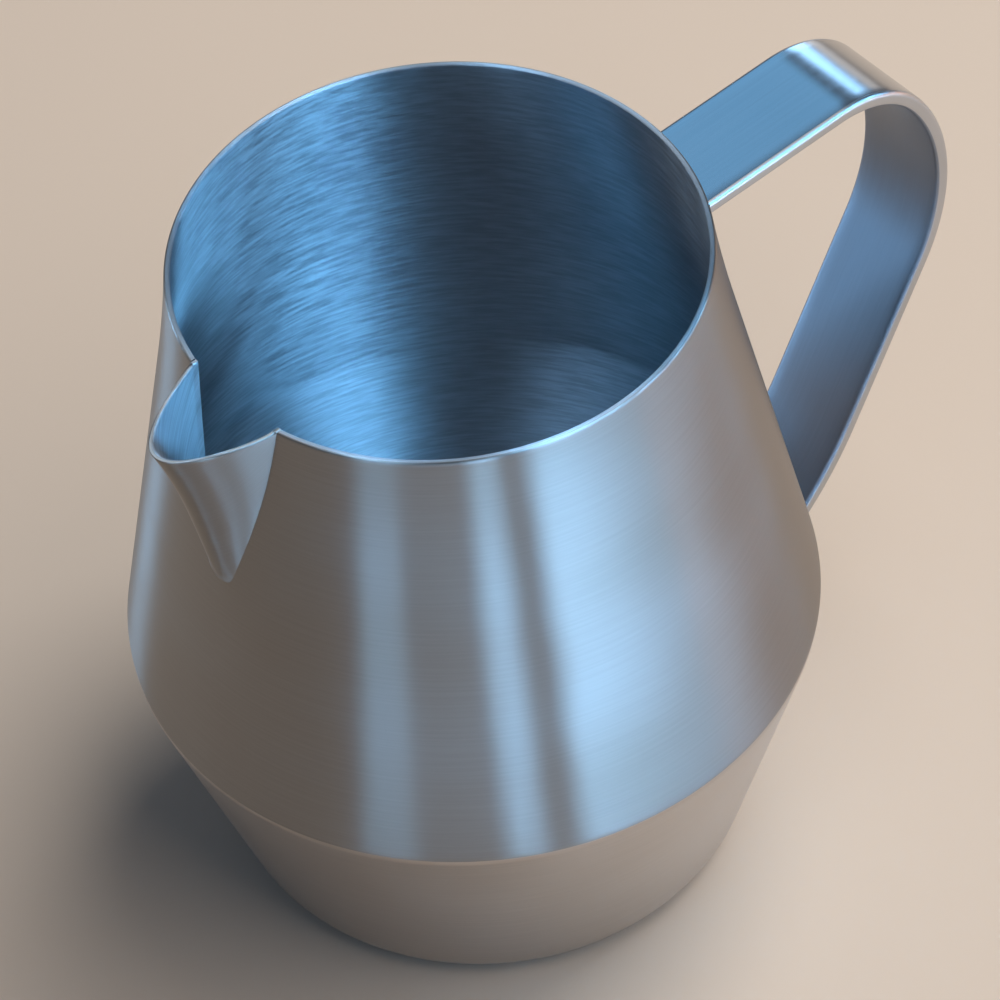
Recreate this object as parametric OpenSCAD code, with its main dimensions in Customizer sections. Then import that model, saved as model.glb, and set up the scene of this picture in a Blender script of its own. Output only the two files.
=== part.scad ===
// Stainless steel milk jug. Two pressings meet at the belly edge, a beak-shaped pouring lip is
// let into a notch in the rim, and a bent strap handle is welded on opposite the lip.
// Millimetres, +Z up, standing on Z = 0 around the Z axis. The handle points to +X, the lip to -X.

/* [Body] */
// Outer diameter of the rim
rim_d = 72.4; // [62:0.2:82]
// How far the rim flares out from the line of the straight wall
flare = 0.7; // [0:0.1:1.5]
// Height of the flared stretch below the rim
flare_h = 18; // [10:1:30]
// Height of the rim above the table
height = 108; // [98:0.5:122]
// Outer diameter at the belly, before its edge is rounded
belly_d = 96; // [88:0.5:106]
// Height of the belly edge
belly_z = 41; // [36:0.5:48]
// Outer diameter at the bottom, before its edge is rounded
base_d = 70.5; // [62:0.5:80]
// Thickness of the steel sheet
wall = 0.8; // [0.6:0.05:1.2]
// Outside radius of the belly edge
belly_r = 4; // [2:0.5:8]
// Outside radius of the bottom edge
base_r = 8; // [5:0.5:10]
// Width of the flat ring that the jug stands on
foot_w = 3; // [2:0.5:5]
// Rise of the domed bottom inside that ring
dome_rise = 1.5; // [0.8:0.1:3]

/* [Pouring lip] */
// Width of the lip where it leaves the rim
lip_w = 17.4; // [13:0.2:21]
// How far the lip's tip stands out from the rim
lip_reach = 12.4; // [8:0.2:16]
// Height of the lip, from the rim to its blunt lower end
lip_drop = 31; // [24:0.5:38]
// Radius of the blunt lower end
lip_foot_r = 2.6; // [1.8:0.1:3.6]
// How far the lip's creases bow out from straight lines halfway down
lip_bow = 0.8; // [0:0.1:1.6]
// How far the pouring edge dips below the rim at the tip
lip_dip = 1.2; // [0:0.1:3]

/* [Handle] */
// Width of the strap
strap_w = 15.2; // [11:0.2:18]
// Thickness of the strap
strap_t = 2.2; // [1.6:0.1:3]
// Radius of the strap's rounded edges
strap_edge_r = 0.7; // [0.3:0.1:0.8]
// Depth of the strap's upper face below the rim
handle_drop = 14; // [10:0.5:20]
// Height of the lower end where it seats on the bowl
low_seat_z = 10.5; // [9.5:0.25:16]
// Centre-line radius of the tight bend beside the upper arm
knuckle_r = 16.5; // [13:0.5:22]
// Angle of the tight bend
knuckle_angle = 58; // [48:1:66]
// Centre-line radius of the open bend that the palm lies against
palm_r = 29.4; // [24:0.2:36]
// Angle of the open bend
palm_angle = 64; // [54:1:68]
// Centre-line radius of the bend that brings the lower end in to the bowl
tail_r = 48.4; // [40:0.2:56]
// Angle of that bend
tail_angle = 39; // [30:1:46]
// Leg of the weld fillet round each end of the strap
weld_leg = 1.3; // [0.8:0.1:2]

/* [Hidden] */

steel = [0.72, 0.73, 0.76];
brushed_steel = [0.66, 0.66, 0.68];
weld_steel = [0.55, 0.55, 0.57];

// How far a cut runs past the surface that it cuts
overrun = 2;
// Angle between two points of a rounded corner of the body, of a strap's edge and of a strap's bend
arc_step = 4;
edge_step = 30;
bend_step = 4;
// Parts that a long curve is drawn in
curve_parts = 12;

// Slope of the upper wall and of the lower wall on their straight stretches, from upright
upper_lean = atan((belly_d / 2 - rim_d / 2 + flare) / (height - belly_z));
lower_lean = atan((belly_d - base_d) / 2 / belly_z);

// Outer radius of the upper wall, with its flare, and of the lower wall at a height
function upper_r(z) =
    rim_d / 2 - flare + (height - z) * tan(upper_lean)
    + flare * pow(max(0, 1 - (height - z) / flare_h), 2);
function lower_r(z) = base_d / 2 + z * tan(lower_lean);

// Centre of the belly edge's rounding, which is also where the two pressings meet
belly_c = [
    belly_d / 2 - belly_r * (sin(upper_lean) + sin(lower_lean)) / sin(upper_lean + lower_lean),
    belly_z - belly_r * (cos(lower_lean) - cos(upper_lean)) / sin(upper_lean + lower_lean)
];
// Centre of the bottom edge's rounding
base_c = [base_d / 2 - base_r * (1 - sin(lower_lean)) / cos(lower_lean), base_r];
// Inner radius of the standing ring, and the radius of the dome inside it
ring_r = base_c[0] - foot_w;
dome_r = (ring_r * ring_r + dome_rise * dome_rise) / (2 * dome_rise);

// Points of an arc about c from angle a to angle b, no more than step apart
function arc(c, r, a, b, step = arc_step) =
    let (n = max(2, ceil(abs(b - a) / step)))
    [for (i = [0:n]) c + r * [cos(a + (b - a) * i / n), sin(a + (b - a) * i / n)]];

// Underside of the bottom from the standing ring to the axis, raised by lift
function dome(lift) =
    [for (i = [0:curve_parts]) let (x = ring_r * (1 - i / curve_parts))
        [x, sqrt(dome_r * dome_r - x * x) - dome_r + dome_rise + lift]];

// Skin of each pressing, moved inwards by inset: from the rim down, and from the belly to the axis
function upper_skin(inset) = concat(
    [for (i = [0:curve_parts]) let (z = height - flare_h * i / curve_parts)
        [upper_r(z) - inset / cos(upper_lean), z]],
    arc(belly_c, belly_r - inset, upper_lean, 0)
);
function lower_skin(inset) = concat(
    arc(belly_c, belly_r - inset, 0, -lower_lean),
    arc(base_c, base_r - inset, -lower_lean, -90),
    dome(inset)
);

function reversed(list) = [for (i = [len(list) - 1:-1:0]) list[i]];
function joined(lists) = [for (list = lists) for (item = list) item];
// Two triangles that fill a four-sided face
function quad(a, b, c, d) = [[a, b, c], [a, c, d]];

// Wall between a skin and the same skin one sheet thickness further in
module pressing(outer, inner) {
    rotate_extrude() polygon(concat(outer, reversed(inner)));
}

// The jug's outer shape as a filled solid, without lip and handle
module filled_body() {
    rotate_extrude() polygon(concat([[0, height]], upper_skin(0), lower_skin(0)));
}

module upper_body() {
    color(steel) difference() {
        pressing(upper_skin(0), upper_skin(wall));
        lip_notch();
    }
}

module lower_bowl() {
    color(steel) pressing(lower_skin(0), lower_skin(wall));
}

// Seen from the front, the lip is a tall V with a round foot. foot_c_z is the height of the foot's
// centre, and side_angle is where the V's sides leave the round foot.
foot_c_z = height - lip_drop + lip_foot_r;
side_angle = atan2(height - foot_c_z, lip_w / 2) - acos(lip_foot_r / norm([lip_w / 2, height - foot_c_z]));
// Angle at which the round foot is cut off to a narrow flat
foot_cut_angle = -80;
foot_parts = 6;
side_parts = 12;
nose_parts = 28;
// How straight the lip's sides run to its tip: 1 is an ellipse, 2 a parabola, more is nearer to a wedge
nose_power = 1.9;
// Part of the reach that comes from the outward curl near the rim
curl_share = 0.08;
curl_power = 4;

// Half-width and height of the V's edge from its foot to the rim, moved inwards by inset
function lip_edge(inset) =
    let (
        r = lip_foot_r - inset,
        low = [r * cos(side_angle), foot_c_z + r * sin(side_angle)],
        high = [low[0] - (height - low[1]) * tan(side_angle), height],
        span = side_angle - foot_cut_angle
    )
    concat(
        [for (i = [0:foot_parts]) let (a = foot_cut_angle + span * i / foot_parts)
            [r * cos(a), foot_c_z + r * sin(a)]],
        [for (i = [1:side_parts]) let (t = i / side_parts)
            low + (high - low) * t + [4 * lip_bow * t * (1 - t), 0]]
    );

// Radius of the lip's keel at a height
function keel_r(z) =
    let (s = (z - height + lip_drop) / lip_drop)
    upper_r(z) + lip_reach * ((1 - curl_share) * s + curl_share * pow(s, curl_power));

// One level of the lip at edge point e: the edge inside the notch, round the nose, and back
function lip_level(e, inset) =
    let (
        y = e[0],
        z = e[1],
        s = (z - height + lip_drop) / lip_drop,
        back_x = sqrt(pow(upper_r(z) - wall / cos(upper_lean), 2) - y * y),
        front_x = sqrt(pow(upper_r(z), 2) - y * y),
        nose_x = keel_r(z) - inset
    )
    concat(
        [[back_x, -y, z]],
        [for (i = [0:nose_parts]) let (a = 180 * i / nose_parts - 90, c = max(0, cos(a)))
            [front_x + (nose_x - front_x) * pow(c, nose_power), y * sin(a), z - lip_dip * s * c]],
        [[back_x, y, z]]
    );

// Prism that opens the rim for the lip, along its edge seen from the front
module lip_notch() {
    edge = lip_edge(0);
    top = [lip_w / 2, height + overrun];
    half = concat(edge, [top]);
    mirrored = [for (p = reversed(half)) [-p[0], p[1]]];
    rotate([90, 0, -90]) linear_extrude(belly_d / 2 + lip_reach) polygon(concat(half, mirrored));
}

// Thin shell between the lip's outer and inner surfaces, each a grid of levels and points
module pouring_lip() {
    outer = [for (e = lip_edge(0)) lip_level(e, 0)];
    inner = [for (e = lip_edge(wall)) lip_level(e, wall)];
    levels = len(outer);
    n = len(outer[0]);
    far = levels * n;
    points = concat(joined(outer), joined(inner));
    function at(i, j) = i * n + j;
    skin_faces = [for (i = [0:levels - 2]) for (j = [0:n - 2]) each concat(
        quad(at(i, j), at(i + 1, j), at(i + 1, j + 1), at(i, j + 1)),
        quad(far + at(i, j), far + at(i, j + 1), far + at(i + 1, j + 1), far + at(i + 1, j))
    )];
    cap_faces = [for (j = [0:n - 2]) each concat(
        quad(at(0, j), at(0, j + 1), far + at(0, j + 1), far + at(0, j)),
        quad(at(levels - 1, j), far + at(levels - 1, j), far + at(levels - 1, j + 1), at(levels - 1, j + 1))
    )];
    edge_faces = [for (i = [0:levels - 2]) each concat(
        quad(at(i, 0), far + at(i, 0), far + at(i + 1, 0), at(i + 1, 0)),
        quad(at(i, n - 1), at(i + 1, n - 1), far + at(i + 1, n - 1), far + at(i, n - 1))
    )];
    color(brushed_steel) rotate([0, 0, 180])
        polyhedron(points, concat(skin_faces, cap_faces, edge_faces), convexity = 6);
}

// The handle's centre line lies in the XZ plane. Its arms are as long as they must be for both
// ends to reach the walls, the lower one at low_seat_z.
arm_z = height - handle_drop - strap_t / 2;
palm_end = knuckle_angle + palm_angle;
tail_end = palm_end + tail_angle;
bends_fall = knuckle_r * (1 - cos(knuckle_angle)) + palm_r * (cos(knuckle_angle) - cos(palm_end))
    + tail_r * (cos(palm_end) - cos(tail_end));
bends_run = knuckle_r * sin(knuckle_angle) + palm_r * (sin(palm_end) - sin(knuckle_angle))
    + tail_r * (sin(tail_end) - sin(palm_end));
lower_arm_l = (arm_z - low_seat_z - bends_fall) / sin(palm_end);
upper_arm_x = lower_r(low_seat_z) - bends_run - lower_arm_l * cos(palm_end);

// Centres of the three bends
knuckle_c = [upper_arm_x, arm_z - knuckle_r];
palm_c = knuckle_c + (knuckle_r - palm_r) * [sin(knuckle_angle), cos(knuckle_angle)];
lower_arm_start = palm_c + palm_r * [sin(palm_end), cos(palm_end)];
lower_arm_end = lower_arm_start + lower_arm_l * [cos(palm_end), -sin(palm_end)];
tail_c = lower_arm_end - tail_r * [sin(palm_end), cos(palm_end)];

// Stations along the strap's centre line: its place in the XZ plane and its slope below +X
function bend(c, r, from, to) =
    let (n = ceil((to - from) / bend_step))
    [for (i = [1:n]) let (a = from + (to - from) * i / n) [c[0] + r * sin(a), c[1] + r * cos(a), a]];
strap_path = concat(
    [[upper_r(arm_z) - strap_w / 2, arm_z, 0], [upper_arm_x, arm_z, 0]],
    bend(knuckle_c, knuckle_r, 0, knuckle_angle),
    bend(palm_c, palm_r, knuckle_angle, palm_end),
    [[lower_arm_end[0], lower_arm_end[1], palm_end]],
    bend(tail_c, tail_r, palm_end, tail_end),
    [[lower_r(low_seat_z) + strap_w / 2 * cos(tail_end), low_seat_z - strap_w / 2 * sin(tail_end), tail_end]]
);

// Section of the strap as thickness and width, with rounded edges
function strap_section() =
    let (c = [strap_t / 2 - strap_edge_r, strap_w / 2 - strap_edge_r])
    concat(
        arc(c, strap_edge_r, 0, 90, edge_step),
        arc([-c[0], c[1]], strap_edge_r, 90, 180, edge_step),
        arc(-c, strap_edge_r, 180, 270, edge_step),
        arc([c[0], -c[1]], strap_edge_r, 270, 360, edge_step)
    );

// The section swept along the stations, with both ends running on inside the jug's wall
module whole_strap() {
    section = strap_section();
    n = len(section);
    last = len(strap_path) - 1;
    points = [for (p = strap_path) for (q = section)
        [p[0] + q[0] * sin(p[2]), q[1], p[1] + q[0] * cos(p[2])]];
    sides = [for (i = [0:last - 1]) for (j = [0:n - 1]) let (k = (j + 1) % n)
        each quad(i * n + j, i * n + k, (i + 1) * n + k, (i + 1) * n + j)];
    ends = [[for (j = [n - 1:-1:0]) j], [for (j = [0:n - 1]) last * n + j]];
    polyhedron(points, concat(sides, ends), convexity = 4);
}

module handle() {
    color(steel) difference() {
        whole_strap();
        filled_body();
    }
}

// Fillet of weld metal that follows the wall round the strap. z_low and z_high are where the strap's
// faces meet the wall, and r_low, r_high, toe_low and toe_high the wall's radii there and at the toes.
module weld_ring(z_low, z_high, r_low, r_high, toe_low, toe_high) {
    half_angle = asin((strap_w / 2 + weld_leg) / min(r_low, r_high));
    rotate([0, 0, -half_angle]) rotate_extrude(angle = 2 * half_angle) polygon([
        [toe_low, z_low - weld_leg],
        [r_low + weld_leg, z_low],
        [r_high + weld_leg, z_high],
        [toe_high, z_high + weld_leg]
    ]);
}

module upper_handle_weld() {
    low = arm_z - strap_t / 2;
    high = arm_z + strap_t / 2;
    color(weld_steel) difference() {
        weld_ring(low, high, upper_r(low), upper_r(high), upper_r(low - weld_leg), upper_r(high + weld_leg));
        whole_strap();
    }
}

module lower_handle_weld() {
    half = strap_t / 2 / cos(180 - tail_end);
    low = low_seat_z - half;
    high = low_seat_z + half;
    color(weld_steel) difference() {
        weld_ring(low, high, lower_r(low), lower_r(high), lower_r(low - weld_leg), lower_r(high + weld_leg));
        whole_strap();
    }
}

upper_body();
lower_bowl();
pouring_lip();
handle();
upper_handle_weld();
lower_handle_weld();
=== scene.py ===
"""Looks of a stainless steel milk jug: satin body, brushed inside, pouring lip and polished strap handle.

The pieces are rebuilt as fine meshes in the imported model's frame: the handle points to +X, the lip to -X,
and the jug stands on Z = 0. Shapes are worked out in millimetres and scaled to metres by MM.
"""
import math

import bmesh
import bpy
import numpy as np
from mathutils import Matrix, Vector


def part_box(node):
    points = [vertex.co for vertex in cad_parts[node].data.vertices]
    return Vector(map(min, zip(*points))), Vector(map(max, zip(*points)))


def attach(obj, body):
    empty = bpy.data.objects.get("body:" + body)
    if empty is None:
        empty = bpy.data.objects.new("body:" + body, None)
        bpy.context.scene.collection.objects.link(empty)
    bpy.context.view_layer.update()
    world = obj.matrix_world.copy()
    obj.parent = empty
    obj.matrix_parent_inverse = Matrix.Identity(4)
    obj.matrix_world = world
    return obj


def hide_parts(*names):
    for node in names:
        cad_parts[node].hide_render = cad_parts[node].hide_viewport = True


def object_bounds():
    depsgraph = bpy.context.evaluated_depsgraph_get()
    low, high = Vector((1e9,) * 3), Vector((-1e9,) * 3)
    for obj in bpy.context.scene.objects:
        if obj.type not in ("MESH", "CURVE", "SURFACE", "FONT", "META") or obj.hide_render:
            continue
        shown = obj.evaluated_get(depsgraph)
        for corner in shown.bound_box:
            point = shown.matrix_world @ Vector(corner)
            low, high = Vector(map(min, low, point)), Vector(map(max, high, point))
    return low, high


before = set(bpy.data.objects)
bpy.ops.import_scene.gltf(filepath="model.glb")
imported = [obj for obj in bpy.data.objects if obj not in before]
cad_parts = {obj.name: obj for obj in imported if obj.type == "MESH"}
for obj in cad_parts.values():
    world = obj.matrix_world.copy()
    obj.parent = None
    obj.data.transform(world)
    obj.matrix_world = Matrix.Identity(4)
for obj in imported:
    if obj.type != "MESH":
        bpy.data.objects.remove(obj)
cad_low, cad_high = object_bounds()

MM = 0.001
MICROMETRE = 1e-6

# Body, in millimetres
HEIGHT = cad_high.z / MM
RIM_D = 72.4
FLARE = 0.7
FLARE_H = 18.0
BELLY_D = 96.0
BELLY_Z = 41.0
BASE_D = 70.5
WALL = 0.8
BELLY_R = 4.0
BASE_R = 8.0
FOOT_W = 3.0
DOME_RISE = 1.5
EDGE_R = 0.25

# Pouring lip
LIP_W = 17.4
LIP_REACH = 12.4
LIP_DROP = 31.0
LIP_FOOT_R = 2.6
LIP_BOW = 0.8
LIP_DIP = 1.2
NOSE_POWER = 1.9
CURL_SHARE = 0.08
CURL_POWER = 4

# Handle
STRAP_W = (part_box("handle")[1].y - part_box("handle")[0].y) / MM
STRAP_T = 2.2
STRAP_EDGE_R = 0.7
HANDLE_DROP = 14.0
LOW_SEAT_Z = 10.5
KNUCKLE_R = 16.5
KNUCKLE_ANGLE = math.radians(58)
PALM_R = 29.4
PALM_ANGLE = math.radians(64)
TAIL_R = 48.4
TAIL_ANGLE = math.radians(39)

# Welds, with their ripples as (share of the leg, pace from point to point, start)
WELD_LEG = 1.3
WELD_SINK = 0.02
WELD_RIPPLES = ((0.06, 2.3, 0.0), (0.04, 5.1, 1.0))

# How finely the meshes are drawn
AROUND = 384
WALL_ROWS = 24
DOME_ROWS = 24
ARC_STEP = math.radians(5)
EDGE_TURNS = [math.radians(turn) for turn in (30, 60, 90)]
LIP_FOOT_ROWS = 14
LIP_SIDE_ROWS = 56
NOSE_PARTS = 64
ARM_PARTS = 12
BEND_STEP = math.radians(2)
STRAP_EDGE_STEP = math.radians(15)
STRAP_FACE_PARTS = 10
STRAP_SIDE_PARTS = 3
WELD_ROWS = 7
SEAT_ROUNDS = 12
MERGE_WITHIN = 0.002
CREASE = math.radians(40)

# Places in a piece's list of materials
OUTSIDE = 0
INSIDE = 1
EDGES = 2

# Noise in the steel: waves in a metre, fine detail, and the range that is used
STROKE_DETAIL = 3.0
STROKE_ROUGHNESS = 0.6
STROKE_RANGE = (0.38, 0.64)
WAVE_SCALE = 45.0
WAVE_DETAIL = 1.0
CLOUD_SCALE = 60.0
CLOUD_DETAIL = 0.5
CLOUD_RANGE = (0.25, 0.75)
FULL_RANGE = (0.0, 1.0)
QUARTER_TURN = 0.25

# Floor and surroundings, in metres
FLOOR_HALF = 3.0
FLOOR_COLOUR = (0.71, 0.64, 0.57)
FLOOR_ROUGHNESS = 0.7
WORLD_COLOUR = (0.6, 0.72, 0.9)
WORLD_STRENGTH = 0.12

# Lamps: sizes and distances in metres, angles in degrees, aims as shares of the jug's height
SKY = (0.33, 0.64, 1.0)
DEEP_SKY = (0.2, 0.58, 1.0)
PALE_SKY = (0.8, 0.9, 1.0)
WARM = (1.0, 0.91, 0.82)
CANDLE = (1.0, 0.86, 0.74)
AMBER = (1.0, 0.52, 0.3)
PANE_STEP = 5
PANE_ELEVATION = -1.3
PANE_DISTANCE = 0.9
PANE_SIZE = (0.12, 0.12)
PANE_SPREAD = 12
PANE_AIM_SHARE = 0.75
SKYLIGHT_DISTANCE = 0.6
SKYLIGHT_SIZE = (0.14, 0.12)
SKYLIGHT_SPREAD = 16
SKYLIGHT_AIM_SHARE = 0.9

# Camera: where the rim's centre lies in the 1000 pixel picture, and from where it is seen, in millimetres
PICTURE = 1000
FOCAL_PX = 6900
SENSOR = 36.0
AIM_PIXEL = (439.1, 255.4)
AIM_HEIGHT = 108.3
CAMERA_DISTANCE = 902.0
CAMERA_AZIMUTH = math.radians(-126.65)
CAMERA_ELEVATION = math.radians(46.34)
CAMERA_ROLL = math.radians(-5.856)
CLIP_NEAR = 50.0
CLIP_FAR = 20000.0


# Profile of the body

UPPER_LEAN = math.atan((BELLY_D / 2 - RIM_D / 2 + FLARE) / (HEIGHT - BELLY_Z))
LOWER_LEAN = math.atan((BELLY_D - BASE_D) / 2 / BELLY_Z)
BELLY_SPREAD = math.sin(UPPER_LEAN + LOWER_LEAN)
BELLY_C = (
    BELLY_D / 2 - BELLY_R * (math.sin(UPPER_LEAN) + math.sin(LOWER_LEAN)) / BELLY_SPREAD,
    BELLY_Z - BELLY_R * (math.cos(LOWER_LEAN) - math.cos(UPPER_LEAN)) / BELLY_SPREAD,
)
BASE_C = (BASE_D / 2 - BASE_R * (1 - math.sin(LOWER_LEAN)) / math.cos(LOWER_LEAN), BASE_R)
RING_R = BASE_C[0] - FOOT_W
DOME_R = (RING_R ** 2 + DOME_RISE ** 2) / (2 * DOME_RISE)


def upper_r(z):
    """Outer radius of the upper wall at a height, with its flare towards the rim."""
    below = HEIGHT - z
    return RIM_D / 2 - FLARE + below * math.tan(UPPER_LEAN) + FLARE * max(0.0, 1 - below / FLARE_H) ** 2


def lower_r(z):
    """Outer radius of the lower wall at a height."""
    return BASE_D / 2 + z * math.tan(LOWER_LEAN)


def arc(centre, radius, start, end, step=ARC_STEP):
    """Points of an arc in a plane."""
    count = max(2, math.ceil(abs(end - start) / step))
    angles = np.linspace(start, end, count + 1)
    return [(centre[0] + radius * math.cos(a), centre[1] + radius * math.sin(a)) for a in angles]


def line(start, end, count):
    """Points from start to end, without the end."""
    first, last = np.array(start), np.array(end)
    return [tuple(first + (last - first) * i / count) for i in range(count)]


def dome(lift):
    """The bottom from the standing ring to the axis, as (r, z) points, lifted from the underside."""
    radii = [RING_R * (1 - i / DOME_ROWS) for i in range(DOME_ROWS + 1)]
    return [(r, math.sqrt(DOME_R ** 2 - r ** 2) - DOME_R + DOME_RISE + lift) for r in radii]


def upper_wall(inset):
    """The upper wall from below its rounded rim edge down to the belly seam, moved inwards by inset."""
    shift = inset / math.cos(UPPER_LEAN)
    bend = arc(BELLY_C, BELLY_R - inset, UPPER_LEAN, 0)
    beside_lip = [(upper_r(z) - shift, z) for z in reversed(lip_heights())]
    return beside_lip[:-1] + line(beside_lip[-1], bend[0], WALL_ROWS) + bend


def rim_edge(inset, sign):
    """The rounded rim from the wall moved inwards by inset up to the cut edge.

    sign is 1 on the outer wall and -1 on the inner one."""
    edge_r = upper_r(HEIGHT) - inset / math.cos(UPPER_LEAN)
    return [
        (edge_r - sign * EDGE_R * (1 - math.cos(turn)), HEIGHT - EDGE_R * (1 - math.sin(turn)))
        for turn in EDGE_TURNS
    ]


def lower_wall(inset):
    """The lower pressing from the belly seam to the axis, moved inwards by inset."""
    belly = arc(BELLY_C, BELLY_R - inset, 0, -LOWER_LEAN)
    base = arc(BASE_C, BASE_R - inset, -LOWER_LEAN, -math.pi / 2)
    return belly[:-1] + line(belly[-1], base[0], WALL_ROWS) + base + dome(inset)[1:]


# Meshes

# What a lamp can be kept to
jug = bpy.data.collections.new("jug")
body = bpy.data.collections.new("body")
strap = bpy.data.collections.new("strap")
stage = bpy.data.collections.new("stage")


def make_piece(name, points, faces, materials, face_materials=None):
    """A smooth mesh object from points in millimetres."""
    mesh = bpy.data.meshes.new(name)
    mesh.from_pydata([tuple(np.array(point) * MM) for point in points], [], faces)
    for material in materials:
        mesh.materials.append(material)
    if face_materials is not None:
        mesh.polygons.foreach_set("material_index", face_materials)
    shape = bmesh.new()
    shape.from_mesh(mesh)
    bmesh.ops.remove_doubles(shape, verts=shape.verts, dist=MERGE_WITHIN * MM)
    shape.to_mesh(mesh)
    shape.free()
    mesh.shade_smooth()
    mesh.set_sharp_from_angle(angle=CREASE)
    piece = bpy.data.objects.new(name, mesh)
    bpy.context.scene.collection.objects.link(piece)
    return piece


def hand_over(piece, node):
    """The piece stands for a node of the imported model."""
    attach(piece, "root")
    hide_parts(node)
    jug.objects.link(piece)
    (strap if node == "handle" else body).objects.link(piece)


def loop_faces(rows, columns, close_rows=False, close_columns=False):
    """Quads of a grid of points, row after row."""
    faces = []
    for i in range(rows if close_rows else rows - 1):
        for j in range(columns if close_columns else columns - 1):
            k, m = (i + 1) % rows, (j + 1) % columns
            faces.append((i * columns + j, i * columns + m, k * columns + m, k * columns + j))
    return faces


def circle(r, z, angles):
    """Points round the axis at a radius and a height, counted from the lip."""
    return [(-r * math.cos(angle), -r * math.sin(angle), z) for angle in angles]


# The lip's outline seen from the front: a tall V with a round foot

FOOT_C_Z = HEIGHT - LIP_DROP + LIP_FOOT_R
V_HALF = LIP_W / 2
V_RISE = HEIGHT - FOOT_C_Z
SIDE_ANGLE = math.atan2(V_RISE, V_HALF) - math.acos(LIP_FOOT_R / math.hypot(V_HALF, V_RISE))


def lip_half_width(z, inset=0.0):
    """Half-width of the lip's outline at a height, moved inwards by inset."""
    foot_r = LIP_FOOT_R - inset
    low_z = FOOT_C_Z + foot_r * math.sin(SIDE_ANGLE)
    if z >= low_z:
        share = (z - low_z) / (HEIGHT - low_z)
        straight = foot_r * math.cos(SIDE_ANGLE) - (z - low_z) * math.tan(SIDE_ANGLE)
        return straight + 4 * LIP_BOW * share * (1 - share)
    drop = FOOT_C_Z - z
    return math.sqrt(max(0.0, foot_r * foot_r - drop * drop))


def lip_share(z):
    """How far up the lip a height lies, from 0 at its foot to 1 at the rim."""
    return (z - HEIGHT + LIP_DROP) / LIP_DROP


def keel_r(z):
    """Radius of the lip's keel at a height."""
    share = lip_share(z)
    return upper_r(z) + LIP_REACH * ((1 - CURL_SHARE) * share + CURL_SHARE * share ** CURL_POWER)


def lip_edge(z, inset):
    """Half-width and height of a lip surface at a level, or at its own foot if that is higher."""
    edge_z = max(z, FOOT_C_Z - (LIP_FOOT_R - inset))
    return lip_half_width(edge_z, inset), edge_z


def lip_curve(z, inset):
    """One level of a lip surface: from the wall's notch round the nose and back, as points."""
    half, edge_z = lip_edge(z, inset)
    dip = LIP_DIP * max(0.0, lip_share(edge_z))
    front = math.sqrt(upper_r(edge_z) ** 2 - half * half)
    nose = keel_r(edge_z) - inset
    points = []
    for angle in np.linspace(-math.pi / 2, math.pi / 2, NOSE_PARTS + 1):
        forward = max(0.0, math.cos(angle))
        x = front + (nose - front) * forward ** NOSE_POWER
        points.append((-x, -half * math.sin(angle), edge_z - dip * forward))
    return points


def lip_back(z, inset, side):
    """Where a lip surface meets the inside of the wall, on the side +1 or -1."""
    half, edge_z = lip_edge(z, inset)
    radius = upper_r(edge_z) - WALL / math.cos(UPPER_LEAN)
    return -math.sqrt(radius ** 2 - half * half), side * half, edge_z


def lip_heights():
    """Heights of the lip's levels from its foot up to the rounded rim edge."""
    angles = np.linspace(-math.pi / 2, SIDE_ANGLE, LIP_FOOT_ROWS)
    foot = [FOOT_C_Z + LIP_FOOT_R * math.sin(angle) for angle in angles]
    side = list(np.linspace(foot[-1], HEIGHT - EDGE_R, LIP_SIDE_ROWS))[1:]
    return foot + side


def lip_levels():
    """Heights of the lip's levels with the insets of its outer and inner surface, foot to rim."""
    levels = [(z, 0.0, WALL) for z in lip_heights()]
    for turn in EDGE_TURNS:
        bite = EDGE_R * (1 - math.cos(turn))
        levels.append((HEIGHT - EDGE_R * (1 - math.sin(turn)), bite, WALL - bite))
    return levels


def pouring_lip(materials):
    """The beak as a closed shell between its outer and inner surface."""
    levels = lip_levels()
    points = []
    for z, outset, inset in levels:
        points += [lip_back(z, outset, 1)] + lip_curve(z, outset) + [lip_back(z, outset, -1)]
        points += [lip_back(z, inset, -1)] + lip_curve(z, inset)[::-1] + [lip_back(z, inset, 1)]
    rows, columns = len(levels), len(points) // len(levels)
    faces = loop_faces(rows, columns, close_columns=True)
    surface = columns // 2
    for row in (0, rows - 1):
        for j in range(surface - 1):
            quad = [row * columns + k for k in (j, j + 1, columns - 2 - j, columns - 1 - j)]
            faces.append(tuple(quad if row else quad[::-1]))
    sides = [INSIDE if face[0] % columns >= surface else OUTSIDE for face in faces]
    return make_piece("pouring_lip", points, faces, materials, sides)


def upper_body(materials):
    """The upper pressing, open at the front where the lip is let in."""
    outer = rim_edge(0, 1)[::-1] + upper_wall(0)
    inner = rim_edge(WALL, -1)[::-1] + upper_wall(WALL)
    section = outer[::-1] + inner
    columns = AROUND + 1
    points = []
    for r, z in section:
        notch = math.asin(lip_half_width(z) / r) if z > HEIGHT - LIP_DROP else 0.0
        points += circle(r, z, np.linspace(notch, 2 * math.pi - notch, columns))
    faces = [face[::-1] for face in loop_faces(len(section), columns, close_rows=True)]
    sides = [INSIDE if face[0] // columns >= len(outer) else OUTSIDE for face in faces]
    return make_piece("upper_body", points, faces, materials, sides)


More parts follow.
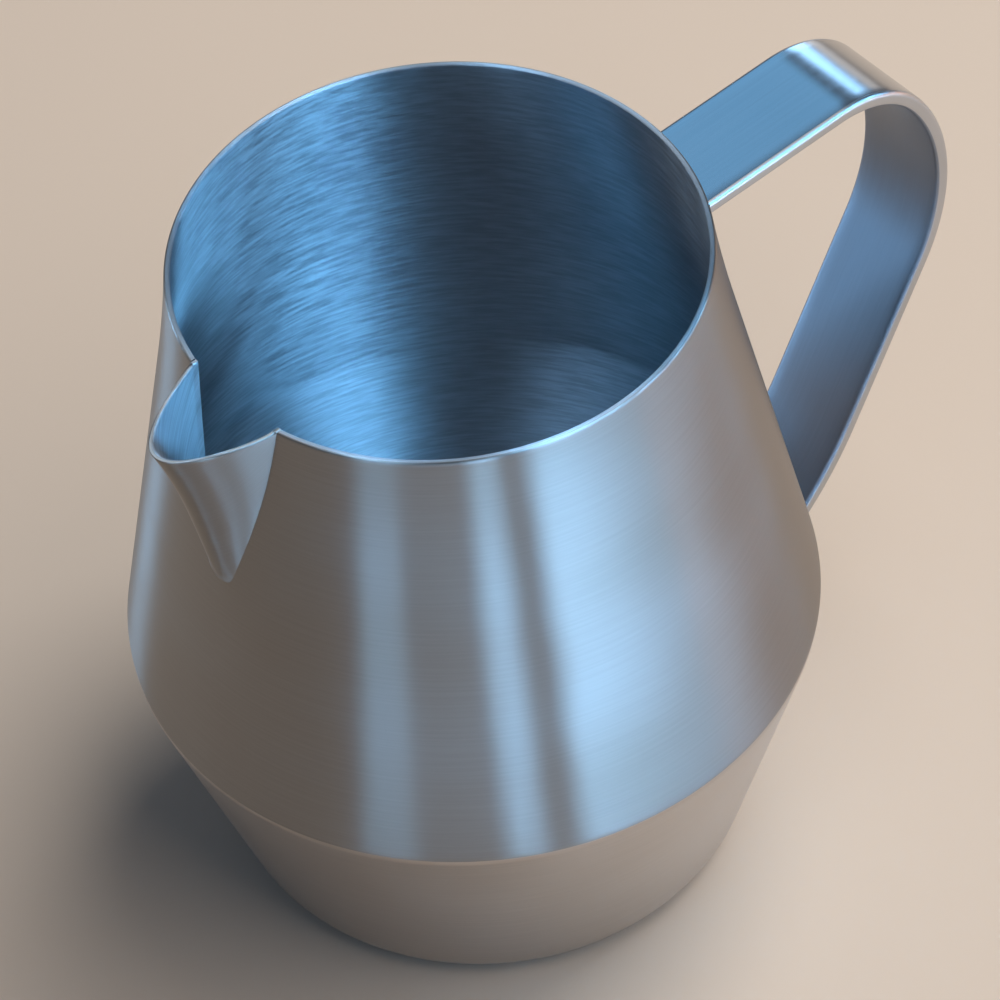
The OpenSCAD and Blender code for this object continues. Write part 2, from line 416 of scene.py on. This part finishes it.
def lower_bowl(materials):
    """The lower pressing, closed by its domed bottom."""
    outer = lower_wall(0)
    inner = lower_wall(WALL)
    section = inner[:-1][::-1] + outer[:-1]
    points = []
    for r, z in section:
        points += circle(r, z, np.linspace(0, 2 * math.pi, AROUND, endpoint=False))
    rows, columns = len(section), AROUND
    faces = [face[::-1] for face in loop_faces(rows, columns, close_columns=True)]
    sides = [INSIDE if face[-1] // columns < len(inner) - 1 else OUTSIDE for face in faces]
    for row, pole, side in ((0, inner[-1], INSIDE), (rows - 1, outer[-1], OUTSIDE)):
        tip = len(points)
        points.append((0.0, 0.0, pole[1]))
        for j in range(columns):
            face = (row * columns + j, row * columns + (j + 1) % columns, tip)
            faces.append(face if side == INSIDE else face[::-1])
            sides.append(side)
    return make_piece("lower_bowl", points, faces, materials, sides)


# The handle's centre line in the XZ plane, as (x, z, slope below +X)

ARM_Z = HEIGHT - HANDLE_DROP - STRAP_T / 2
PALM_END = KNUCKLE_ANGLE + PALM_ANGLE
TAIL_END = PALM_END + TAIL_ANGLE
BENDS_FALL = (
    KNUCKLE_R * (1 - math.cos(KNUCKLE_ANGLE))
    + PALM_R * (math.cos(KNUCKLE_ANGLE) - math.cos(PALM_END))
    + TAIL_R * (math.cos(PALM_END) - math.cos(TAIL_END))
)
BENDS_RUN = (
    KNUCKLE_R * math.sin(KNUCKLE_ANGLE)
    + PALM_R * (math.sin(PALM_END) - math.sin(KNUCKLE_ANGLE))
    + TAIL_R * (math.sin(TAIL_END) - math.sin(PALM_END))
)
LOWER_ARM = (ARM_Z - LOW_SEAT_Z - BENDS_FALL) / math.sin(PALM_END)
UPPER_ARM_X = lower_r(LOW_SEAT_Z) - BENDS_RUN - LOWER_ARM * math.cos(PALM_END)
UPPER_INWARD = (-1.0, 0.0, 0.0)
LOWER_INWARD = (math.cos(TAIL_END), 0.0, -math.sin(TAIL_END))


def strap_path():
    """Stations along the strap from the upper seat to the lower one."""
    start = upper_r(ARM_Z)
    path = [(start + (UPPER_ARM_X - start) * i / ARM_PARTS, ARM_Z, 0.0) for i in range(ARM_PARTS + 1)]

    def bend(radius, begin, end):
        x, z, _ = path[-1]
        centre = (x - radius * math.sin(begin), z - radius * math.cos(begin))
        count = math.ceil((end - begin) / BEND_STEP)
        for angle in np.linspace(begin, end, count + 1)[1:]:
            path.append((centre[0] + radius * math.sin(angle), centre[1] + radius * math.cos(angle), angle))

    bend(KNUCKLE_R, 0.0, KNUCKLE_ANGLE)
    bend(PALM_R, KNUCKLE_ANGLE, PALM_END)
    x, z, _ = path[-1]
    for i in range(1, ARM_PARTS + 1):
        run = LOWER_ARM * i / ARM_PARTS
        path.append((x + run * math.cos(PALM_END), z - run * math.sin(PALM_END), PALM_END))
    bend(TAIL_R, PALM_END, TAIL_END)
    return path


def strap_section():
    """The strap's outline with rounded edges, as (thickness, width) points."""
    half_t, half_w = STRAP_T / 2 - STRAP_EDGE_R, STRAP_W / 2 - STRAP_EDGE_R
    corners = [(half_t, half_w), (-half_t, half_w), (-half_t, -half_w), (half_t, -half_w)]
    outline = []
    for k, centre in enumerate(corners):
        turn = (k + 1) * math.pi / 2
        edge = arc(centre, STRAP_EDGE_R, k * math.pi / 2, turn, STRAP_EDGE_STEP)
        following = corners[(k + 1) % len(corners)]
        target = (following[0] + STRAP_EDGE_R * math.cos(turn), following[1] + STRAP_EDGE_R * math.sin(turn))
        outline += edge[:-1] + line(edge[-1], target, STRAP_FACE_PARTS if k % 2 else STRAP_SIDE_PARTS)
    return outline


def seat_point(point, direction, wall_r, depth):
    """Moves a point along a direction until it lies depth inside the wall."""
    place = np.array(point)
    for _ in range(SEAT_ROUNDS):
        gap = math.hypot(place[0], place[1]) - (wall_r(place[2]) - depth)
        place = place + np.array(direction) * gap
    return tuple(place)


def section_at(station, section):
    """The strap's outline at a station, as points."""
    x, z, slope = station
    return [(x + level * math.sin(slope), across, z + level * math.cos(slope)) for level, across in section]


def strap_finish(level):
    """The place of the material that a face takes by its level in the strap's thickness."""
    if level > STRAP_T / 2 - MERGE_WITHIN:
        return OUTSIDE
    return INSIDE if level < STRAP_EDGE_R / 2 - STRAP_T / 2 else EDGES


def handle(materials):
    """The strap swept along its path, with both ends seated in the wall."""
    section = strap_section()
    rings = [section_at(station, section) for station in strap_path()]
    rings[0] = [seat_point(point, UPPER_INWARD, upper_r, WALL / 2) for point in rings[0]]
    rings[-1] = [seat_point(point, LOWER_INWARD, lower_r, WALL / 2) for point in rings[-1]]
    points = [point for ring in rings for point in ring]
    rows, columns = len(rings), len(section)
    faces = [face[::-1] for face in loop_faces(rows, columns, close_columns=True)]
    faces.append(tuple(range(columns)))
    faces.append(tuple((rows - 1) * columns + j for j in reversed(range(columns))))
    levels = [(section[j][0] + section[(j + 1) % columns][0]) / 2 for j in range(columns)]
    finishes = [strap_finish(level) for level in levels] * (rows - 1) + [OUTSIDE, OUTSIDE]
    return make_piece("handle", points, faces, materials, finishes)


def weld(name, station, inward, wall_r, materials):
    """A ground fillet of weld round one end of the strap, hollow in section with faint ripples."""
    inward = np.array(inward)
    ring = section_at(station, strap_section())
    centre = np.mean(ring, axis=0)
    points = []
    for i, point in enumerate(ring):
        seat = np.array(seat_point(point, inward, wall_r, 0.0))
        out = np.array(point) - centre
        out[0] = 0.0
        out = out - np.dot(out, inward) * inward
        out /= np.linalg.norm(out)
        ripple = sum(share * math.sin(i * pace + start) for share, pace, start in WELD_RIPPLES)
        leg = WELD_LEG * (1 + ripple)
        foot = seat - inward * leg
        toe = np.array(seat_point(seat + out * leg, inward, wall_r, WELD_SINK))
        for turn in np.linspace(0, math.pi / 2, WELD_ROWS):
            points.append(seat + (foot - seat) * (1 - math.sin(turn)) + (toe - seat) * (1 - math.cos(turn)))
        points.append(seat_point(seat, inward, wall_r, WALL / 2))
    faces = loop_faces(len(ring), WELD_ROWS + 1, close_rows=True, close_columns=True)
    return make_piece(name, points, faces, materials)


# Materials

def node_maker(material):
    """Returns a function that adds nodes to a material, and one that links them."""
    tree = material.node_tree

    def add(kind, **settings):
        node = tree.nodes.new(kind)
        for key, value in settings.items():
            setattr(node, key, value)
        return node

    return add, tree.links.new


def brush_coordinates(add, link, shader, brush, along_strap):
    """Coordinates stretched along the brush lines: round the axis, or along the strap."""
    place = add("ShaderNodeTexCoord")
    lines, runs = brush
    if along_strap:
        spread = add("ShaderNodeVectorMath", operation="MULTIPLY")
        spread.inputs[1].default_value = (runs, lines, runs)
        link(place.outputs["Object"], spread.inputs[0])
        return place, spread
    split = add("ShaderNodeSeparateXYZ")
    link(place.outputs["Object"], split.inputs[0])
    turn = add("ShaderNodeMath", operation="ARCTAN2")
    link(split.outputs["Y"], turn.inputs[0])
    link(split.outputs["X"], turn.inputs[1])
    along = add("ShaderNodeMath", operation="MULTIPLY")
    along.inputs[1].default_value = runs
    link(turn.outputs[0], along.inputs[0])
    # Height and radius together change across the lines on the walls and on the bottom alike
    level = add("ShaderNodeVectorMath", operation="MULTIPLY")
    level.inputs[1].default_value = (1, 1, 0)
    link(place.outputs["Object"], level.inputs[0])
    radius = add("ShaderNodeVectorMath", operation="LENGTH")
    link(level.outputs[0], radius.inputs[0])
    across = add("ShaderNodeMath", operation="ADD")
    link(split.outputs["Z"], across.inputs[0])
    link(radius.outputs["Value"], across.inputs[1])
    row = add("ShaderNodeMath", operation="MULTIPLY")
    row.inputs[1].default_value = lines
    link(across.outputs[0], row.inputs[0])
    spread = add("ShaderNodeCombineXYZ")
    link(along.outputs[0], spread.inputs["X"])
    link(row.outputs[0], spread.inputs["Y"])
    # Light spreads across the brush lines, so the tangent that runs round the axis is turned upright
    tangent = add("ShaderNodeTangent", direction_type="RADIAL", axis="Z")
    link(tangent.outputs[0], shader.inputs["Tangent"])
    shader.inputs["Anisotropic Rotation"].default_value = QUARTER_TURN
    return place, spread


def noise(add, link, place, scale, detail, roughness=0.5):
    """A noise texture read at a place."""
    texture = add("ShaderNodeTexNoise")
    texture.inputs["Scale"].default_value = scale
    texture.inputs["Detail"].default_value = detail
    texture.inputs["Roughness"].default_value = roughness
    link(place, texture.inputs["Vector"])
    return texture


def spread_range(add, link, value, from_range, to_range):
    """A value moved from one range to another."""
    node = add("ShaderNodeMapRange")
    node.inputs["From Min"].default_value, node.inputs["From Max"].default_value = from_range
    node.inputs["To Min"].default_value, node.inputs["To Max"].default_value = to_range
    link(value, node.inputs["Value"])
    return node


def relief(add, link, height, depth_um, below=None):
    """A bump of a depth in micrometres, over another bump."""
    bump = add("ShaderNodeBump")
    bump.inputs["Strength"].default_value = 1.0
    bump.inputs["Distance"].default_value = depth_um * MICROMETRE
    link(height, bump.inputs["Height"])
    if below is not None:
        link(below.outputs[0], bump.inputs["Normal"])
    return bump


def steel(
    name, warm, cool, rough, brush, brush_um, waves_um, streak, smudge, anisotropy=0.0, along_strap=False
):
    """Stainless steel: brush lines round the axis or along the strap, hand-polished waves and smudges.

    brush is how many brush lines fit side by side in a metre, and how many follow each other in a radian
    or in a metre along the strap. brush_um and waves_um are the depths of the lines and of the waves in
    micrometres. rough gives the roughness between the lines and on them. streak is how much darker the steel
    between the lines is, and smudge how much rougher the smudges are. With its smudges, each steel stays on
    one side of a roughness of 0.274, where Cycles changes what it passes to its denoiser."""
    material = bpy.data.materials.new(name)
    material.use_nodes = True
    add, link = node_maker(material)
    shader = material.node_tree.nodes["Principled BSDF"]
    shader.inputs["Metallic"].default_value = 1.0
    shader.inputs["Anisotropic"].default_value = anisotropy
    place, spread = brush_coordinates(add, link, shader, brush, along_strap)
    strokes = noise(add, link, spread.outputs[0], 1.0, STROKE_DETAIL, STROKE_ROUGHNESS)
    waves = noise(add, link, place.outputs["Object"], WAVE_SCALE, WAVE_DETAIL)
    clouds = noise(add, link, place.outputs["Object"], CLOUD_SCALE, CLOUD_DETAIL)
    stroke = spread_range(add, link, strokes.outputs["Fac"], STROKE_RANGE, FULL_RANGE)
    cloud = spread_range(add, link, clouds.outputs["Fac"], CLOUD_RANGE, FULL_RANGE)
    # Roughness: brush lines with smudges over them
    lined = spread_range(add, link, stroke.outputs[0], FULL_RANGE, rough)
    smudged = add("ShaderNodeMath", operation="MULTIPLY_ADD")
    smudged.inputs[1].default_value = smudge
    link(cloud.outputs[0], smudged.inputs[0])
    link(lined.outputs[0], smudged.inputs[2])
    link(smudged.outputs[0], shader.inputs["Roughness"])
    # Colour: a faint drift between a warm and a cool steel, darker between the brush lines
    tint = add("ShaderNodeMix", data_type="RGBA")
    tint.inputs["A"].default_value = (*warm, 1)
    tint.inputs["B"].default_value = (*cool, 1)
    link(cloud.outputs[0], tint.inputs["Factor"])
    streaked = add("ShaderNodeMix", data_type="RGBA", blend_type="MULTIPLY")
    streaked.inputs["Factor"].default_value = streak
    link(tint.outputs["Result"], streaked.inputs["A"])
    link(stroke.outputs[0], streaked.inputs["B"])
    link(streaked.outputs["Result"], shader.inputs["Base Color"])
    # Relief: shallow waves with the brush lines over them
    wavy = relief(add, link, waves.outputs["Fac"], waves_um)
    lines = relief(add, link, strokes.outputs["Fac"], brush_um, wavy)
    link(lines.outputs[0], shader.inputs["Normal"])
    return material


def floor_material():
    """Plain pale floor."""
    material = bpy.data.materials.new("pale_floor")
    material.use_nodes = True
    shader = material.node_tree.nodes["Principled BSDF"]
    shader.inputs["Base Color"].default_value = (*FLOOR_COLOUR, 1)
    shader.inputs["Roughness"].default_value = FLOOR_ROUGHNESS
    return material


# Stage, lights and camera

def make_floor():
    """A wide plain floor under the jug."""
    ends = (-FLOOR_HALF, FLOOR_HALF)
    corners = [(ends[i], ends[j], 0) for i, j in ((0, 0), (1, 0), (1, 1), (0, 1))]
    mesh = bpy.data.meshes.new("floor")
    mesh.from_pydata(corners, [], [(0, 1, 2, 3)])
    mesh.materials.append(floor_material())
    floor = bpy.data.objects.new("floor", mesh)
    bpy.context.scene.collection.objects.link(floor)
    stage.objects.link(floor)


def make_world():
    """Even, faintly cool light from all round."""
    world = bpy.data.worlds.new("studio")
    world.use_nodes = True
    background = world.node_tree.nodes["Background"]
    background.inputs["Color"].default_value = (*WORLD_COLOUR, 1)
    background.inputs["Strength"].default_value = WORLD_STRENGTH
    bpy.context.scene.world = world


def softbox(name, azimuth, elevation, distance, size, power, colour, only=None, spread=180, aim_share=0.5):
    """A rectangular lamp that faces the jug's axis at a share of its height.

    Its azimuth is counted from the camera, to the right. A spread under 180 degrees keeps its light together,
    as the grid of a softbox does. It lights only the collection that is given, or everything."""
    data = bpy.data.lights.new(name, "AREA")
    data.shape = "RECTANGLE"
    data.size, data.size_y = size
    data.energy = power
    data.spread = math.radians(spread)
    data.color = colour
    lamp = bpy.data.objects.new(name, data)
    bpy.context.scene.collection.objects.link(lamp)
    if only is not None:
        lamp.light_linking.receiver_collection = only
    turn = CAMERA_AZIMUTH + math.radians(azimuth)
    rise = math.radians(elevation)
    target = Vector((0, 0, HEIGHT * MM * aim_share))
    toward = Vector((math.cos(turn) * math.cos(rise), math.sin(turn) * math.cos(rise), math.sin(rise)))
    lamp.location = target + toward * distance
    lamp.rotation_euler = (-toward).to_track_quat("-Z", "Y").to_euler()


def window(name, azimuths, powers, colour):
    """A row of low lamps from one azimuth to another, which the wall shows as one upright strip."""
    count = round((azimuths[1] - azimuths[0]) / PANE_STEP) + 1
    for i in range(count):
        share = i / max(1, count - 1)
        azimuth, power = (first + (last - first) * share for first, last in (azimuths, powers))
        softbox(
            f"{name}_{i}", azimuth, PANE_ELEVATION, PANE_DISTANCE, PANE_SIZE, power, colour,
            only=jug, spread=PANE_SPREAD, aim_share=PANE_AIM_SHARE,
        )


def skylight(name, azimuth, elevation, power, colour, size=SKYLIGHT_SIZE, aim_share=SKYLIGHT_AIM_SHARE):
    """A small lamp near the rim that shines into the jug."""
    softbox(
        name, azimuth, elevation, SKYLIGHT_DISTANCE, size, power, colour,
        only=jug, spread=SKYLIGHT_SPREAD, aim_share=aim_share,
    )


def make_lights():
    """Windows that the wall mirrors, sky that falls into the jug, and soft lamps over jug and floor."""
    window("left_window", (-33, -26), (0.0042, 0.0042), SKY)
    window("middle_window", (-20, -4), (0.001, 0.0013), SKY)
    window("narrow_window", (5, 10), (0.0072, 0.0072), SKY)
    window("wide_window", (26, 84), (0.0092, 0.0016), SKY)
    window("far_left_window", (-124, -119), (0.006, 0.006), SKY)
    window("right_wall", (70, 130), (0.0009, 0.0005), AMBER)
    for azimuth, elevation in ((52, 44), (66, 42), (80, 32), (94, 25), (110, 25)):
        skylight(f"sky_right_{azimuth}", azimuth, elevation, 0.0125, DEEP_SKY)
    for azimuth in (34, 48):
        skylight(f"sky_front_{azimuth}", azimuth, 55, 0.022, DEEP_SKY, aim_share=0.8)
    skylight("sky_over", -70, 73, 0.023, SKY, size=(0.16, 0.16))
    softbox("sky_back", 180, 40, 1.1, size=(0.45, 0.45), power=0.6, colour=DEEP_SKY, only=jug)
    softbox("low_back", 163, 18, 1.1, size=(0.2, 0.26), power=0.8, colour=SKY, only=jug)
    softbox("horizon_back", 163, 5, 1.1, size=(0.3, 0.2), power=0.2, colour=WARM, only=jug)
    softbox("sky_strap", -104, 3, 0.7, size=(0.2, 0.2), power=1.4, colour=SKY, only=strap)
    softbox("warm_top", 125, 54, 1.2, size=(0.9, 0.7), power=9.4, colour=WARM, only=stage)
    softbox("pale_top", -150, 62, 0.8, size=(0.54, 0.44), power=1.6, colour=PALE_SKY, only=body)
    softbox("warm_right", 115, 72, 1.0, size=(0.5, 0.42), power=1.6, colour=WARM)
    softbox("warm_front", 50, 54, 1.2, size=(0.9, 0.7), power=4.6, colour=CANDLE, only=stage)


def make_camera():
    """A camera that sees the rim's centre at AIM_PIXEL, from the photograph's angle."""
    aim = Vector((0, 0, AIM_HEIGHT * MM))
    level = math.cos(CAMERA_ELEVATION)
    outward = Vector((
        level * math.cos(CAMERA_AZIMUTH), level * math.sin(CAMERA_AZIMUTH), math.sin(CAMERA_ELEVATION)
    ))
    forward = -outward
    right = forward.cross(Vector((0, 0, 1))).normalized()
    up = right.cross(forward)
    turned_right = math.cos(CAMERA_ROLL) * right + math.sin(CAMERA_ROLL) * up
    turned_up = -math.sin(CAMERA_ROLL) * right + math.cos(CAMERA_ROLL) * up
    # The aim point lies off the picture's centre, so the axes are turned by that angle
    across = (AIM_PIXEL[0] - PICTURE / 2) / FOCAL_PX
    down = (AIM_PIXEL[1] - PICTURE / 2) / FOCAL_PX
    seen = Vector((across, -down, 1.0)).normalized()
    turn = Vector((0, 0, 1)).rotation_difference(seen).to_matrix()
    axes = turn @ Matrix((turned_right, turned_up, forward))
    data = bpy.data.cameras.new("camera")
    data.sensor_width = SENSOR
    data.lens = FOCAL_PX * SENSOR / PICTURE
    data.clip_start = CLIP_NEAR * MM
    data.clip_end = CLIP_FAR * MM
    camera = bpy.data.objects.new("camera", data)
    bpy.context.scene.collection.objects.link(camera)
    turned = Matrix((axes[0], axes[1], -axes[2])).transposed()
    camera.matrix_world = Matrix.Translation(aim + outward * CAMERA_DISTANCE * MM) @ turned.to_4x4()
    bpy.context.scene.camera = camera


# The steels of the jug

# The outside's base colour is painted darker and warmer than plain steel: painted shade standing in for the
# dim, warm surroundings it mirrors
outside_steel_painted_shade = steel(
    "outside_steel_painted_shade", warm=(0.302, 0.289, 0.277), cool=(0.336, 0.328, 0.32), rough=(0.285, 0.31),
    brush=(3000, 2), brush_um=0.4, waves_um=160, streak=0.06, smudge=0.03, anisotropy=0.97,
)
# The lower bowl's base colour is painted warmer and brighter than the upper outside: a painted warm
# reflection of a brown surface below it
bowl_steel_painted_warm_reflection = steel(
    "bowl_steel_painted_warm_reflection", warm=(0.54, 0.493, 0.456), cool=(0.577, 0.535, 0.502), rough=(0.29, 0.33),
    brush=(2600, 2), brush_um=0.4, waves_um=140, streak=0.08, smudge=0.03, anisotropy=0.3,
)
# The inside's base colour is tinted blue: a painted reflection of blue sky light
inside_steel_painted_blue_reflection = steel(
    "inside_steel_painted_blue_reflection", warm=(0.48, 0.52, 0.57), cool=(0.54, 0.59, 0.64), rough=(0.4, 0.52),
    brush=(1600, 7), brush_um=40.0, waves_um=60, streak=0.25, smudge=0.03, anisotropy=1.0,
)
handle_steel = steel(
    "handle_steel", warm=(0.5, 0.51, 0.53), cool=(0.56, 0.57, 0.59), rough=(0.17, 0.21),
    brush=(2600, 25), brush_um=0.05, waves_um=120, streak=0.08, smudge=0.03, along_strap=True,
)
# The strap's inner face is a darker, bluer copy of the handle's steel: painted shade with a painted blue
# reflection
strap_inner_face_painted_shade = steel(
    "strap_inner_face_painted_shade", warm=(0.26, 0.28, 0.32), cool=(0.31, 0.34, 0.39), rough=(0.4, 0.48),
    brush=(2600, 60), brush_um=1.0, waves_um=80, streak=0.08, smudge=0.05, along_strap=True,
)
strap_edge_steel = steel(
    "strap_edge_steel", warm=(0.5, 0.51, 0.53), cool=(0.56, 0.57, 0.59), rough=(0.31, 0.34),
    brush=(2600, 25), brush_um=0.2, waves_um=120, streak=0.08, smudge=0.03, along_strap=True,
)
weld_steel = steel(
    "weld_steel", warm=(0.42, 0.41, 0.4), cool=(0.48, 0.48, 0.49), rough=(0.3, 0.45),
    brush=(1500, 400), brush_um=4.0, waves_um=40, streak=0.2, smudge=0.05, along_strap=True,
)

# The pieces

hand_over(upper_body([outside_steel_painted_shade, inside_steel_painted_blue_reflection]), "upper_body")
hand_over(lower_bowl([bowl_steel_painted_warm_reflection, inside_steel_painted_blue_reflection]), "lower_bowl")
hand_over(pouring_lip([outside_steel_painted_shade, inside_steel_painted_blue_reflection]), "pouring_lip")
hand_over(handle([handle_steel, strap_inner_face_painted_shade, strap_edge_steel]), "handle")
stations = strap_path()
upper_weld = weld("upper_handle_weld", stations[0], UPPER_INWARD, upper_r, [weld_steel])
lower_weld = weld("lower_handle_weld", stations[-1], LOWER_INWARD, lower_r, [weld_steel])
hand_over(upper_weld, "upper_handle_weld")
hand_over(lower_weld, "lower_handle_weld")

# The scene

make_floor()
make_world()
make_lights()
make_camera()
bpy.context.scene.view_settings.view_transform = "Standard"
